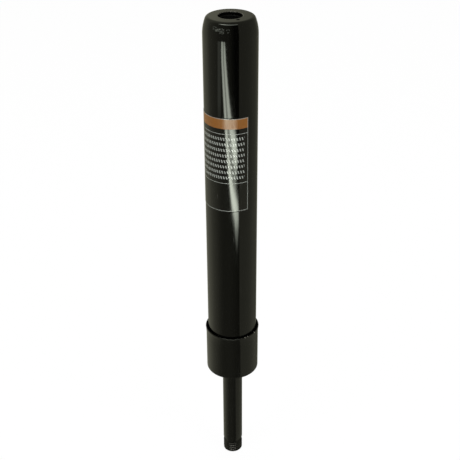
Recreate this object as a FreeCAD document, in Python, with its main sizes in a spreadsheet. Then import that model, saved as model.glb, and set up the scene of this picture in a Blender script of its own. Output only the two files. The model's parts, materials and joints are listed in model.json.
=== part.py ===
# Boat seat post: a spring-cushioned tube that sinks and swivels on a threaded 3/4 in spindle.
#
# Frame: origin at the centre of the collar's underside, where the post seats on its deck base. +Z runs up the
# axis of the post, and -Y is the front. Lengths are in millimetres and angles in degrees.

import FreeCAD, Part
import math
import os
import re

import Sketcher

os.makedirs("parts", exist_ok=True)
doc = FreeCAD.newDocument("BoatSeatPost")
sheet = doc.addObject("Spreadsheet::Sheet", "Sizes")

# Driving dimensions: name, value, meaning
SIZES = [
    ("tube_diameter", 45.74, "outside of the post tube"),
    ("tube_wall", 2.3, "wall of the post tube"),
    ("post_height", 348.5, "collar's underside to the top face"),
    ("shoulder_inset", 5.27, "outside of the tube to the edge of the flat top face"),
    ("top_bend_radius", 0.9, "inside of the bend between top face and shoulder"),
    ("shoulder_radius", 37, "long arc of the spun shoulder, seen from the side"),
    ("mouth_step", 0.38, "how far the mouth in the spun end stands back from the bush's bore"),
    ("vent_diameter", 2.8, "small round hole beside the mouth"),
    ("vent_inset", 2.97, "edge of the mouth to the middle of the small hole"),
    ("vent_angle", -62, "angle from +X to the small hole"),
    ("collar_gap", 0.63, "tube to cup, below the flare"),
    ("collar_height", 47.3, "underside to rim of the cup"),
    ("collar_wall", 1.2, "side wall of the cup"),
    ("collar_floor", 1.5, "floor of the cup"),
    ("collar_outer_radius", 1, "outer edge of the cup's floor"),
    ("collar_inner_radius", 0.6, "inner edge of the cup's floor"),
    ("collar_flare", 0.58, "how far the mouth flares outwards"),
    ("collar_flare_height", 9, "height over which the mouth flares"),
    ("collar_groove_drop", 2.6, "rim to the fine groove below it"),
    ("collar_groove_radius", 0.75, "section radius of the fine groove"),
    ("collar_groove_depth", 0.2, "depth of the fine groove"),
    ("pin_diameter", 19.05, "plain part of the pin, three quarters of an inch"),
    ("pin_reach", 109.5, "underside of the collar to the pin's tip"),
    ("thread_length", 12, "tip of the pin to the neck"),
    ("thread_relief", 0.125, "crests of the thread to the surface of the plain pin"),
    ("thread_depth", 1.3, "crests to roots"),
    ("thread_pitch", 2.54, "ten turns to the inch"),
    ("thread_root_flat", 0.4, "width of the flat at the roots"),
    ("thread_crest_flat", 0.45, "width of the flat at the crests"),
    ("thread_overcut", 0.2, "how far the thread's cutter stands out of the crests"),
    ("tip_chamfer", 1.3, "chamfer at the pin's tip"),
    ("neck_length", 4.2, "run-out neck above the thread"),
    ("neck_undercut", 0.1, "roots of the thread to the surface of the neck"),
    ("neck_slope", 0.9, "height of the slope at each end of the neck"),
    ("pin_step", 0.275, "shoulder between the pin and the thinner shaft inside the post"),
    ("seat_shoulder", 1.25, "width of the shoulder that carries the spring seat"),
    ("stub_length", 28, "shoulder to the spindle's upper end"),
    ("stub_chamfer", 1, "chamfer at the spindle's upper end"),
    ("clip_thickness", 1.5, "both snap rings"),
    ("clip_depth", 0.9, "how far the snap rings sit in their grooves"),
    ("clip_stand", 2.15, "how far the snap rings stand out of their grooves"),
    ("clip_opening", 60, "angle of the gap in the snap rings"),
    ("travel", 25.4, "how far the post sinks on its spring"),
    ("disc_thickness", 5, "steel disc on the collar's floor"),
    ("weld_leg", 3.5, "bead between that disc and the spindle"),
    ("bead_fullness", 1.2, "radius of a bead's face, as a multiple of its leg"),
    ("bump_thickness", 4, "rubber ring on the disc"),
    ("bump_width", 5, "radial width of the rubber ring"),
    ("bump_edge_radius", 1, "rounding of the rubber ring's upper edges"),
    ("bump_gap", 0.6, "tube to rubber ring at full travel"),
    ("plug_length", 20, "steel ring in the tube's lower end"),
    ("guide_bush_wall", 3.68, "wall of the lower bush"),
    ("plug_weld_leg", 2.2, "bead between that ring and the tube"),
    ("plug_recess", 2.6, "tube's end to the ring"),
    ("flange_width", 4.02, "how far the lower bush's flange stands out"),
    ("flange_thickness", 2.5, "thickness of that flange"),
    ("washer_gap", 2.57, "tube to the washer above the lower bush"),
    ("washer_thickness", 3, "thickness of that washer"),
    ("reel_rim", 3, "thickness of the spring seat's two rims"),
    ("reel_gap", 0.57, "tube to those rims"),
    ("reel_spigot_height", 4, "spigot that centres the spring's lower end"),
    ("reel_spigot_wall", 1.5, "wall of that spigot"),
    ("guide_ring_height", 12, "groove for the split ring between the rims"),
    ("guide_ring_wall", 3, "thickness of the split ring"),
    ("guide_ring_opening", 4, "angle of the gap in the split ring"),
    ("spring_gap", 2.82, "tube to the outside of the spring"),
    ("spring_length", 84, "spring as fitted, between its ground ends"),
    ("turn_gap", 3.9, "free gap between the spring's turns"),
    ("ground_share", 0.36, "part of the wire that is ground away at the spring's ends"),
    ("cap_thickness", 3, "flange of the spring cap"),
    ("cap_gap", 1.57, "tube to the spring cap and the thrust washer"),
    ("cap_spigot_length", 7, "spigot inside the spring"),
    ("cap_spigot_wall", 2.5, "wall of that spigot"),
    ("thrust_thickness", 2.5, "thrust washer"),
    ("thrust_width", 12, "radial width of the thrust washer"),
    ("stop_thickness", 4, "steel disc under the bush"),
    ("stop_hole_diameter", 6, "drain hole in that disc"),
    ("bush_bore", 19.3, "bore that takes the seat's pin"),
    ("bush_sleeve_wall", 3.2, "sleeve round that bore"),
    ("bush_length", 70.4, "length of the bush"),
    ("bush_flange", 5, "thickness of the bush's lower flange"),
    ("bush_head", 16, "height of the bush's head"),
    ("bush_chamfer", 0.8, "chamfers of the bush"),
    ("bush_rib_thickness", 3, "ribs between head and flange"),
    ("bush_rib_count", 6, "number of those ribs"),
    ("decal_height", 87.4, "height of the label"),
    ("decal_drop", 79, "top face to the label's upper edge"),
    ("decal_width", 82, "width of the label, round the tube"),
    ("decal_thickness", 0.12, "sheet of the label"),
    ("adhesive_thickness", 0.1, "layer between the label and the tube"),
    ("decal_angle", -50.5, "angle from +X to the label's right-hand edge"),
    ("running_clearance", 0.05, "radial play of a running fit"),
    ("ring_clearance", 0.08, "radial play of the split ring in the tube"),
    ("fitted_clearance", 0.02, "radial play of a fixed fit"),
    ("loose_clearance", 0.3, "play of pieces that pass each other"),
]
ALIASES = {alias for alias, value, meaning in SIZES}

for row, (alias, value, meaning) in enumerate(SIZES, start=1):
    sheet.set(f"A{row}", meaning)
    sheet.set(f"B{row}", str(value))
    sheet.setAlias(f"B{row}", alias)
doc.recompute()

# Radii and levels that follow from the sizes, as formulas of their names
tube_radius = "(tube_diameter / 2)"
tube_bore = "(tube_diameter / 2 - tube_wall)"
top_flat_radius = f"({tube_radius} - shoulder_inset)"
mouth_radius = "(bush_bore / 2 + mouth_step)"
collar_inside = f"({tube_radius} + collar_gap)"
collar_outside = f"({collar_inside} + collar_wall)"
pin_radius = "(pin_diameter / 2)"
thread_radius = f"({pin_radius} - thread_relief)"
thread_root = f"({thread_radius} - thread_depth)"
neck_radius = f"({thread_root} - neck_undercut)"
shaft_radius = f"({pin_radius} - pin_step)"
stub_radius = f"({shaft_radius} - seat_shoulder)"
guide_bore = f"({shaft_radius} + running_clearance)"
plug_bore = f"({guide_bore} + guide_bush_wall + fitted_clearance)"
shaft_hole = f"({shaft_radius} + fitted_clearance)"
stub_hole = f"({stub_radius} + fitted_clearance)"
clip_outside = f"({stub_radius} + clip_stand)"
spigot_inside = f"({clip_outside} + loose_clearance)"
spigot_outside = f"({spigot_inside} + reel_spigot_wall)"
spring_outside = f"({tube_bore} - spring_gap)"
wire_radius = f"(({spring_outside} - {spigot_outside} - loose_clearance) / 2)"
ground_depth = f"(ground_share * 2 * {wire_radius})"
cap_outside = f"({tube_bore} - cap_gap)"
bump_level = "(collar_floor + disc_thickness)"
tube_level = f"({bump_level} + bump_thickness + bump_gap + travel)"
plug_level = f"({tube_level} + plug_recess)"
flange_level = f"({plug_level} + plug_length)"
washer_level = f"({flange_level} + flange_thickness + loose_clearance)"
lower_clip_level = f"({washer_level} + washer_thickness)"
bush_level = "(post_height - tube_wall - loose_clearance - bush_length)"
stop_level = f"({bush_level} - stop_thickness)"
thrust_level = f"({stop_level} - thrust_thickness)"
cap_level = f"({thrust_level} - cap_thickness)"
spring_level = f"({cap_level} - spring_length)"
seat_height = "(2 * reel_rim + guide_ring_height)"
seat_level = f"({spring_level} - {seat_height})"

# The spun end: the shoulder's arc runs into the bend at this angle, whose sine and cosine these are
shoulder_centre = f"({tube_radius} - shoulder_radius)"
bend_outside = "(top_bend_radius + tube_wall)"
arc_difference = f"(shoulder_radius - {bend_outside})"
meeting_cosine = f"(({top_flat_radius} - {shoulder_centre}) / {arc_difference})"
meeting_sine = f"sqrt(1 - {meeting_cosine}^2)"
shoulder_drop = f"({bend_outside} + {arc_difference} * {meeting_sine})"


def named(formula):
    """The formula with each size's name turned into a reference to the sheet."""
    return re.sub(r"[a-z_]+", lambda word: f"Sizes.{word[0]}" if word[0] in ALIASES else word[0], formula)


def value_of(formula):
    """The number that a formula gives."""
    return float(sheet.evalExpression(named(formula)))


def new_body(label, level="0", turn=None):
    """An empty body whose own origin lies on the axis at a level, turned about the axis by a formula."""
    body = doc.addObject("PartDesign::Body", label)
    body.Label = label
    if turn is not None:
        body.Placement = FreeCAD.Placement(
            FreeCAD.Vector(0, 0, 0), FreeCAD.Rotation(FreeCAD.Vector(0, 0, 1), value_of(turn))
        )
        body.setExpression(".Placement.Rotation.Angle", f"({named(turn)}) * 1 deg")
    body.setExpression(".Placement.Base.z", named(level))
    return body


def new_sketch(body, name, plane, lift=None):
    """A sketch on one of the body's own origin planes, raised along Z by a formula."""
    sketch = body.newObject("Sketcher::SketchObject", f"{body.Name}_{name}")
    sketch.AttachmentSupport = [(next(f for f in body.Origin.OriginFeatures if f.Role == plane), "")]
    sketch.MapMode = "FlatFace"
    if lift is not None:
        along = {"XY_Plane": "z", "XZ_Plane": "y"}[plane]
        sketch.setExpression(f".AttachmentOffset.Base.{along}", named(lift))
    return sketch


def bind(sketch, kind, *places_and_formula):
    """Adds a dimension to a sketch and ties it to a formula."""
    *places, formula = places_and_formula
    index = sketch.addConstraint(Sketcher.Constraint(kind, *places, value_of(formula)))
    sketch.setExpression(f"Constraints[{index}]", named(formula))


def place_point(sketch, edge, end, x, y):
    """Ties a sketch point to formulas for its two coordinates, or to an axis where one is 0."""
    for kind, axis, formula in (("DistanceX", -2, x), ("DistanceY", -1, y)):
        if formula == "0":
            sketch.addConstraint(Sketcher.Constraint("PointOnObject", edge, end, axis))
        else:
            bind(sketch, kind, -1, 1, edge, end, formula)


def arc_between(start, end, radius, side):
    """The arc from start to end whose centre lies on that side of the way between them."""
    chord = end - start
    rise = math.sqrt(max(radius**2 - chord.Length**2 / 4, 0))
    left = FreeCAD.Vector(-chord.y, chord.x, 0).normalize()
    centre = (start + end) / 2 + left * (rise if side == "left" else -rise)
    first, last = (start, end) if side == "left" else (end, start)
    angles = [math.atan2(p.y - centre.y, p.x - centre.x) for p in (first, last)]
    return Part.ArcOfCircle(Part.Circle(centre, FreeCAD.Vector(0, 0, 1), radius), *angles)


def outline(sketch, corners):
    """Closes a profile through corners, each (x, y) or (x, y, radius, side) where an arc leaves it."""
    points = [FreeCAD.Vector(value_of(c[0]), value_of(c[1]), 0) for c in corners]
    ends = []
    for i, corner in enumerate(corners):
        start, end = points[i], points[(i + 1) % len(points)]
        if len(corner) == 2:
            sketch.addGeometry(Part.LineSegment(start, end), False)
            ends.append((1, 2))
        else:
            sketch.addGeometry(arc_between(start, end, value_of(corner[2]), corner[3]), False)
            ends.append((1, 2) if corner[3] == "left" else (2, 1))
    for i in range(len(corners)):
        following = (i + 1) % len(corners)
        sketch.addConstraint(Sketcher.Constraint("Coincident", i, ends[i][1], following, ends[following][0]))
    for i, corner in enumerate(corners):
        place_point(sketch, i, ends[i][0], corner[0], corner[1])
        if len(corner) == 4:
            bind(sketch, "Radius", i, corner[2])


def ring(inner, outer, bottom, top):
    """The rectangular section of a plain ring."""
    return [(inner, bottom), (outer, bottom), (outer, top), (inner, top)]


def turned(label, corners, level="0", sweep=None, turn=None):
    """A body turned about Z from a closed profile, all the way round or through a sweep."""
    body = new_body(label, level, turn)
    sketch = new_sketch(body, "profile", "XZ_Plane")
    outline(sketch, corners)
    revolution = body.newObject("PartDesign::Revolution", f"{label}_turned")
    revolution.Profile = sketch
    revolution.ReferenceAxis = (sketch, ["V_Axis"])
    revolution.Angle = 360
    if sweep is not None:
        revolution.setExpression("Angle", named(sweep))
    sketch.Visibility = False
    return body


def circle(body, name, plane, x, y, radius, lift=None):
    """A sketch of one circle."""
    sketch = new_sketch(body, name, plane, lift)
    centre = FreeCAD.Vector(value_of(x), value_of(y), 0)
    sketch.addGeometry(Part.Circle(centre, FreeCAD.Vector(0, 0, 1), value_of(radius)), False)
    place_point(sketch, 0, 3, x, y)
    bind(sketch, "Radius", 0, radius)
    return sketch


def cut_away(body, sketch, name, upwards):
    """Pockets a sketch through everything above it or below it."""
    doc.recompute()
    before = body.Shape.Volume
    pocket = body.newObject("PartDesign::Pocket", f"{body.Name}_{name}")
    pocket.Profile = sketch
    pocket.Type = "ThroughAll"
    pocket.Reversed = upwards
    doc.recompute()
    if not body.Shape.Volume < before:
        raise RuntimeError(f"{body.Label}: {name} cut nothing")


def post_tube():
    """The painted tube, its upper end spun inwards over the mouth, with the small hole beside it."""
    length = f"(post_height - {tube_level})"
    outer_meeting = (
        f"{top_flat_radius} + {bend_outside} * {meeting_cosine}",
        f"{length} - {bend_outside} + {bend_outside} * {meeting_sine}",
    )
    inner_meeting = (
        f"{top_flat_radius} + top_bend_radius * {meeting_cosine}",
        f"{length} - {bend_outside} + top_bend_radius * {meeting_sine}",
    )
    body = turned(
        "post_tube",
        [
            (tube_bore, "0"),
            (tube_radius, "0"),
            (tube_radius, f"{length} - {shoulder_drop}", "shoulder_radius", "left"),
            (*outer_meeting, bend_outside, "left"),
            (top_flat_radius, length),
            (mouth_radius, length),
            (mouth_radius, f"{length} - tube_wall"),
            (top_flat_radius, f"{length} - tube_wall", "top_bend_radius", "right"),
            (*inner_meeting, "shoulder_radius - tube_wall", "right"),
            (tube_bore, f"{length} - {shoulder_drop}"),
        ],
        level=tube_level,
        turn="vent_angle",
    )
    vent = circle(body, "vent", "XY_Plane", f"{mouth_radius} + vent_inset", "0", "vent_diameter / 2")
    cut_away(body, vent, "vent_hole", upwards=True)
    return body


def collar_cup():
    """The thin cup round the tube's lower end, with a flared mouth, a rounded rim and a fine groove below it."""
    mouth = f"({collar_outside} + collar_flare)"
    flare_rise = "(collar_flare_height - collar_wall / 2)"
    flare_arc = f"(({flare_rise}^2 + collar_flare^2) / (2 * collar_flare))"
    flare_start = "(collar_height - collar_flare_height)"
    rim = "(collar_height - collar_wall / 2)"
    body = turned(
        "collar_cup",
        [
            (f"{pin_radius} + fitted_clearance", "0"),
            (f"{collar_outside} - collar_outer_radius", "0", "collar_outer_radius", "left"),
            (collar_outside, "collar_outer_radius"),
            (collar_outside, flare_start, flare_arc, "right"),
            (mouth, rim, "collar_wall / 2", "left"),
            (f"{mouth} - collar_wall / 2", "collar_height", "collar_wall / 2", "left"),
            (f"{mouth} - collar_wall", rim, flare_arc, "left"),
            (collar_inside, flare_start),
            (collar_inside, "collar_floor + collar_inner_radius", "collar_inner_radius", "right"),
            (f"{collar_inside} - collar_inner_radius", "collar_floor"),
            (shaft_hole, "collar_floor"),
            (shaft_hole, "pin_step"),
        ],
    )
    groove_height = "(collar_flare_height - collar_groove_drop)"
    surface = f"({collar_outside} + {flare_arc} - sqrt({flare_arc}^2 - {groove_height}^2))"
    section = circle(
        body,
        "groove_section",
        "XZ_Plane",
        f"{surface} + collar_groove_radius - collar_groove_depth",
        "collar_height - collar_groove_drop",
        "collar_groove_radius",
    )
    groove = body.newObject("PartDesign::Groove", "collar_cup_groove")
    groove.Profile = section
    groove.ReferenceAxis = (section, ["V_Axis"])
    groove.Angle = 360
    return body


def spindle_pin():
    """The 3/4 in bar: thread, neck and plain pin, a cone under the collar, a running shaft and a stub."""
    clip_groove = f"pin_reach + {lower_clip_level}"
    shoulder = f"(pin_reach + {seat_level})"
    stub_groove = f"pin_reach + {spring_level}"
    stub_top = f"({shoulder} + stub_length)"
    body = turned(
        "spindle_pin",
        [
            ("0", "0"),
            (f"{thread_radius} - tip_chamfer", "0"),
            (thread_radius, "tip_chamfer"),
            (thread_radius, "thread_length"),
            (neck_radius, "thread_length + neck_slope"),
            (neck_radius, "thread_length + neck_length - neck_slope"),
            (pin_radius, "thread_length + neck_length"),
            (pin_radius, "pin_reach"),
            (shaft_radius, "pin_reach + pin_step"),
            (shaft_radius, clip_groove),
            (f"{shaft_radius} - clip_depth", clip_groove),
            (f"{shaft_radius} - clip_depth", f"{clip_groove} + clip_thickness"),
            (shaft_radius, f"{clip_groove} + clip_thickness"),
            (shaft_radius, shoulder),
            (stub_radius, shoulder),
            (stub_radius, stub_groove),
            (f"{stub_radius} - clip_depth", stub_groove),
            (f"{stub_radius} - clip_depth", f"{stub_groove} + clip_thickness"),
            (stub_radius, f"{stub_groove} + clip_thickness"),
            (stub_radius, f"{stub_top} - stub_chamfer"),
            (f"{stub_radius} - stub_chamfer", stub_top),
            ("0", stub_top),
        ],
        level="0 - pin_reach",
    )
    doc.recompute()
    before = body.Shape.Volume
    half_root = "(thread_root_flat / 2)"
    half_crest = "((thread_pitch - thread_crest_flat) / 2)"
    spread = f"(({half_crest} - {half_root}) * (thread_depth + thread_overcut) / thread_depth)"
    half_outside = f"({half_root} + {spread})"
    cutter_radius = f"({thread_radius} + thread_overcut)"
    cutter = new_sketch(body, "thread_section", "XZ_Plane", lift="0 - thread_pitch")
    outline(
        cutter,
        [
            (thread_root, f"{half_outside} - {half_root}"),
            (cutter_radius, "0"),
            (cutter_radius, f"2 * {half_outside}"),
            (thread_root, f"{half_outside} + {half_root}"),
        ],
    )
    thread = body.newObject("PartDesign::SubtractiveHelix", "spindle_pin_thread")
    thread.Profile = cutter
    thread.ReferenceAxis = (cutter, ["V_Axis"])
    thread.Mode = "pitch-height-angle"
    thread.setExpression("Pitch", named("thread_pitch"))
    thread.setExpression("Height", named("thread_length + neck_length / 2"))
    doc.recompute()
    if not body.Shape.Volume < before:
        raise RuntimeError("the thread cut nothing")
    return body


def snap_ring(label, shaft, level):
    """An open ring in a groove of the spindle."""
    inside = f"{shaft} - clip_depth + fitted_clearance"
    section = ring(inside, f"{shaft} + clip_stand", "0", "clip_thickness")
    return turned(label, section, level, sweep="360 - clip_opening")


def seat_disc():
    """The thick steel disc on the collar's floor, chamfered to clear the floor's inner rounding."""
    outside = f"({collar_inside} - fitted_clearance)"
    return turned(
        "seat_disc",
        [
            (shaft_hole, "0"),
            (f"{outside} - collar_inner_radius", "0"),
            (outside, "collar_inner_radius"),
            (outside, "disc_thickness"),
            (shaft_hole, "disc_thickness"),
        ],
        level="collar_floor",
    )


def seat_disc_weld():
    """The bead that joins the disc to the spindle."""
    return turned(
        "seat_disc_weld",
        [
            (shaft_radius, "0"),
            (f"{shaft_radius} + weld_leg", "0", "bead_fullness * weld_leg", "left"),
            (shaft_radius, "weld_leg"),
        ],
        level=bump_level,
    )


def bump_ring():
    """The rubber ring that the tube's end comes close to at full travel."""
    outside = f"({collar_inside} - loose_clearance)"
    inside = f"({outside} - bump_width)"
    return turned(
        "bump_ring",
        [
            (inside, "0"),
            (outside, "0"),
            (outside, "bump_thickness - bump_edge_radius", "bump_edge_radius", "left"),
            (f"{outside} - bump_edge_radius", "bump_thickness"),
            (f"{inside} + bump_edge_radius", "bump_thickness", "bump_edge_radius", "left"),
            (inside, "bump_thickness - bump_edge_radius"),
        ],
        level=bump_level,
    )


def end_plug_weld():
    """The bead that joins the plug to the tube, inside the tube's end."""
    return turned(
        "end_plug_weld",
        [
            (tube_bore, "0"),
            (tube_bore, "plug_weld_leg"),
            (f"{tube_bore} - plug_weld_leg", "plug_weld_leg", "bead_fullness * plug_weld_leg", "left"),
        ],
        level=f"({plug_level} - plug_weld_leg)",
    )


def lower_guide_bush():
    """The flanged bush in the end plug, which runs on the spindle's shaft."""
    outside = f"({plug_bore} - fitted_clearance)"
    return turned(
        "lower_guide_bush",
        [
            (guide_bore, "0"),
            (outside, "0"),
            (outside, "plug_length"),
            (f"{outside} + flange_width", "plug_length"),
            (f"{outside} + flange_width", "plug_length + flange_thickness"),
            (guide_bore, "plug_length + flange_thickness"),
        ],
        level=plug_level,
    )


def spring_seat():
    """The reel on the spindle's shoulder: a groove for the split ring, and a spigot inside the spring."""
    rim = f"({tube_bore} - reel_gap)"
    hub = f"({tube_bore} - ring_clearance - guide_ring_wall - fitted_clearance)"
    return turned(
        "spring_seat",
        [
            (stub_hole, "0"),
            (rim, "0"),
            (rim, "reel_rim"),
            (hub, "reel_rim"),
            (hub, "reel_rim + guide_ring_height"),
            (rim, "reel_rim + guide_ring_height"),
            (rim, seat_height),
            (spigot_outside, seat_height),
            (spigot_outside, f"{seat_height} + reel_spigot_height"),
            (spigot_inside, f"{seat_height} + reel_spigot_height"),
            (spigot_inside, seat_height),
            (stub_hole, seat_height),
        ],
        level=seat_level,
    )


def guide_ring():
    """The split ring in the reel's groove, which runs in the tube's bore."""
    outside = f"({tube_bore} - ring_clearance)"
    section = ring(f"{outside} - guide_ring_wall", outside, "0", "guide_ring_height - 2 * fitted_clearance")
    level = f"({seat_level} + reel_rim + fitted_clearance)"
    return turned("guide_ring", section, level, sweep="360 - guide_ring_opening")


def compression_spring():
    """The coil spring, its two ends ground flat."""
    body = new_body("compression_spring", spring_level)
    wire = circle(
        body,
        "wire",
        "XZ_Plane",
        f"{spring_outside} - {wire_radius}",
        f"{wire_radius} - {ground_depth}",
        wire_radius,
    )
    coil = body.newObject("PartDesign::AdditiveHelix", "compression_spring_coil")
    coil.Profile = wire
    coil.ReferenceAxis = (wire, ["V_Axis"])
    coil.Mode = "pitch-height-angle"
    coil.setExpression("Pitch", named(f"2 * {wire_radius} + turn_gap"))
    coil.setExpression("Height", named(f"spring_length - 2 * {wire_radius} + 2 * {ground_depth}"))
    lower = circle(body, "lower_grinding", "XY_Plane", "0", "0", tube_radius)
    cut_away(body, lower, "lower_end", upwards=False)
    upper = circle(body, "upper_grinding", "XY_Plane", "0", "0", tube_radius, lift="spring_length")
    cut_away(body, upper, "upper_end", upwards=True)
    return body


def spring_cap():
    """The cap on the spring's upper end, with a spigot inside the coils."""
    inside = f"({spigot_outside} - cap_spigot_wall)"
    top = "cap_spigot_length + cap_thickness"
    return turned(
        "spring_cap",
        [
            (inside, "0"),
            (spigot_outside, "0"),
            (spigot_outside, "cap_spigot_length"),
            (cap_outside, "cap_spigot_length"),
            (cap_outside, top),
            (inside, top),
        ],
        level=f"({cap_level} - cap_spigot_length)",
    )


def top_bush():
    """The ribbed bush that takes the seat's pin, its head shaped to the inside of the spun end."""
    inside = "(bush_bore / 2)"
    sleeve = f"({inside} + bush_sleeve_wall)"
    outside = f"({tube_bore} - fitted_clearance)"
    shoulder_start = f"(post_height - {shoulder_drop} - {bush_level})"
    arc = "(shoulder_radius - tube_wall - loose_clearance)"
    head_start = "(bush_length - bush_head)"
    body = turned(
        "top_bush",
        [
            (inside, "0"),
            (outside, "0"),
            (outside, "bush_flange"),
            (sleeve, "bush_flange"),
            (sleeve, head_start),
            (outside, head_start),
            (outside, f"{shoulder_start} - bush_chamfer"),
            (f"{tube_bore} - loose_clearance", shoulder_start, arc, "left"),
            (f"{shoulder_centre} + {arc} * {meeting_cosine}", f"{shoulder_start} + {arc} * {meeting_sine}"),
            (top_flat_radius, "bush_length"),
            (f"{inside} + bush_chamfer", "bush_length"),
            (inside, "bush_length - bush_chamfer"),
        ],
        level=bush_level,
    )
    sketch = new_sketch(body, "rib_section", "XY_Plane", lift="bush_flange")
    start, end = value_of(f"{inside} + bush_sleeve_wall / 2"), value_of(f"{tube_bore} - loose_clearance")
    half = value_of("bush_rib_thickness / 2")
    corners = [FreeCAD.Vector(x, y, 0) for x, y in ((start, -half), (end, -half), (end, half), (start, half))]
    for i in range(4):
        sketch.addGeometry(Part.LineSegment(corners[i], corners[(i + 1) % 4]), False)
    for i in range(4):
        sketch.addConstraint(Sketcher.Constraint("Coincident", i, 2, (i + 1) % 4, 1))
    sketch.addConstraint(Sketcher.Constraint("Horizontal", 0))
    sketch.addConstraint(Sketcher.Constraint("Horizontal", 2))
    sketch.addConstraint(Sketcher.Constraint("Vertical", 3))
    sketch.addConstraint(Sketcher.Constraint("Symmetric", 1, 1, 1, 2, -1))
    bind(sketch, "DistanceX", -1, 1, 0, 1, f"{inside} + bush_sleeve_wall / 2")
    bind(sketch, "DistanceX", -1, 1, 0, 2, f"{tube_bore} - loose_clearance")
    bind(sketch, "DistanceY", 1, 1, 1, 2, "bush_rib_thickness")
    rib = body.newObject("PartDesign::Pad", "top_bush_rib")
    rib.Profile = sketch
    rib.setExpression("Length", named(f"{head_start} - bush_flange"))
    ribs = body.newObject("PartDesign::PolarPattern", "top_bush_ribs")
    ribs.Originals = [rib]
    ribs.Axis = (sketch, ["N_Axis"])
    ribs.Angle = 360
    ribs.setExpression("Occurrences", named("bush_rib_count"))
    body.Tip = ribs
    return body


def decal():
    """The sheet label, wrapped round the upper half of the tube."""
    inside = f"({tube_radius} + adhesive_thickness)"
    section = ring(inside, f"{inside} + decal_thickness", "0", "decal_height")
    sweep = f"(decal_width / {tube_radius} * 180 / pi)"
    level = "(post_height - decal_drop - decal_height)"
    return turned("decal", section, level, sweep=sweep, turn=f"decal_angle - {sweep}")


pieces = [
    spindle_pin(),
    collar_cup(),
    seat_disc(),
    seat_disc_weld(),
    bump_ring(),
    turned(
        "retaining_washer",
        ring(shaft_hole, f"{tube_bore} - washer_gap", "0", "washer_thickness"),
        washer_level,
    ),
    snap_ring("retaining_clip", shaft_radius, lower_clip_level),
    spring_seat(),
    guide_ring(),
    snap_ring("spring_seat_clip", stub_radius, spring_level),
    compression_spring(),
    spring_cap(),
    turned(
        "thrust_washer",
        ring(f"{cap_outside} - thrust_width", cap_outside, "0", "thrust_thickness"),
        thrust_level,
    ),
    turned(
        "pin_stop_disc",
        ring("stop_hole_diameter / 2", f"{tube_bore} - fitted_clearance", "0", "stop_thickness"),
        stop_level,
    ),
    top_bush(),
    post_tube(),
    turned("end_plug", ring(plug_bore, f"{tube_bore} - fitted_clearance", "0", "plug_length"), plug_level),
    end_plug_weld(),
    lower_guide_bush(),
    decal(),
]

# Every object must have worked out, and every piece must be one good solid, before anything is written
doc.recompute()
for item in doc.Objects:
    if {"Invalid", "Error"} & set(item.State):
        raise RuntimeError(f"{item.Name} failed: {item.State}")
for piece in pieces:
    if piece.Shape.isNull() or not piece.Shape.isValid() or len(piece.Shape.Solids) != 1:
        raise RuntimeError(f"{piece.Label} is not one valid solid")
for piece in pieces:
    piece.Shape.exportStep(os.path.join("parts", f"{piece.Label}.step"))
    box = piece.Shape.BoundBox
    print(f"{piece.Label}: z {box.ZMin:.2f} to {box.ZMax:.2f}, volume {piece.Shape.Volume / 1000:.2f} cm3")
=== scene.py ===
"""Boat seat post: the visible pieces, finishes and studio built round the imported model."""

import json
import math

import bmesh
import bpy
from bpy.props import FloatProperty, FloatVectorProperty, IntProperty, PointerProperty
from mathutils import Matrix, Vector, noise


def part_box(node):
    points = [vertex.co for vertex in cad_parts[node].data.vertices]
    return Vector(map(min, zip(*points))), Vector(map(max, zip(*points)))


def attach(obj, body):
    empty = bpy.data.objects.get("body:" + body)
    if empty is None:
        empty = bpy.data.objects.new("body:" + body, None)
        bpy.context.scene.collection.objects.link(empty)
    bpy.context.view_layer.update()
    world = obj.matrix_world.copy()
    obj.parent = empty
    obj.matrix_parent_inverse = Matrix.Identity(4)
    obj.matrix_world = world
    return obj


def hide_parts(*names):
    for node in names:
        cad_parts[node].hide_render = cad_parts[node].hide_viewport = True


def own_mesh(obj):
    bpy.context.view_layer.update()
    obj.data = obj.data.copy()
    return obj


bl_info = {
    "name": "Boat Seat Post",
    "version": (1, 0, 0),
    "blender": (4, 5, 0),
    "location": "3D Viewport > Sidebar > Seat Post",
    "description": "Builds a sprung boat seat post with its finishes and a studio round it",
    "category": "Object",
}

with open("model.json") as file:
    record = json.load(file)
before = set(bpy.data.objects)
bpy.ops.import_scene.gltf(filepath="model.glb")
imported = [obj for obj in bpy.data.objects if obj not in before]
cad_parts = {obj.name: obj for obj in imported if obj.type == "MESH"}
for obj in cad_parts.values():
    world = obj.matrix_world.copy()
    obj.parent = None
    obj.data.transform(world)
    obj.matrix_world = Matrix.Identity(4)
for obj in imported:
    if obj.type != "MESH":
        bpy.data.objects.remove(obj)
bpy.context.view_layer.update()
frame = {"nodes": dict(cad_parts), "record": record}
MM = 0.001


def length(value, text):
    """A length property, in metres, with its default in millimetres."""
    return FloatProperty(
        name=text, description=text, default=value * MM, subtype="DISTANCE", unit="LENGTH", precision=5
    )


def angle(value, text):
    """An angle property, in radians, with its default in degrees."""
    return FloatProperty(name=text, description=text, default=math.radians(value), subtype="ANGLE")


def colour(value, text):
    """A colour property, in linear values."""
    return FloatVectorProperty(name=text, description=text, default=value, subtype="COLOR", min=0, max=1)


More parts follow.
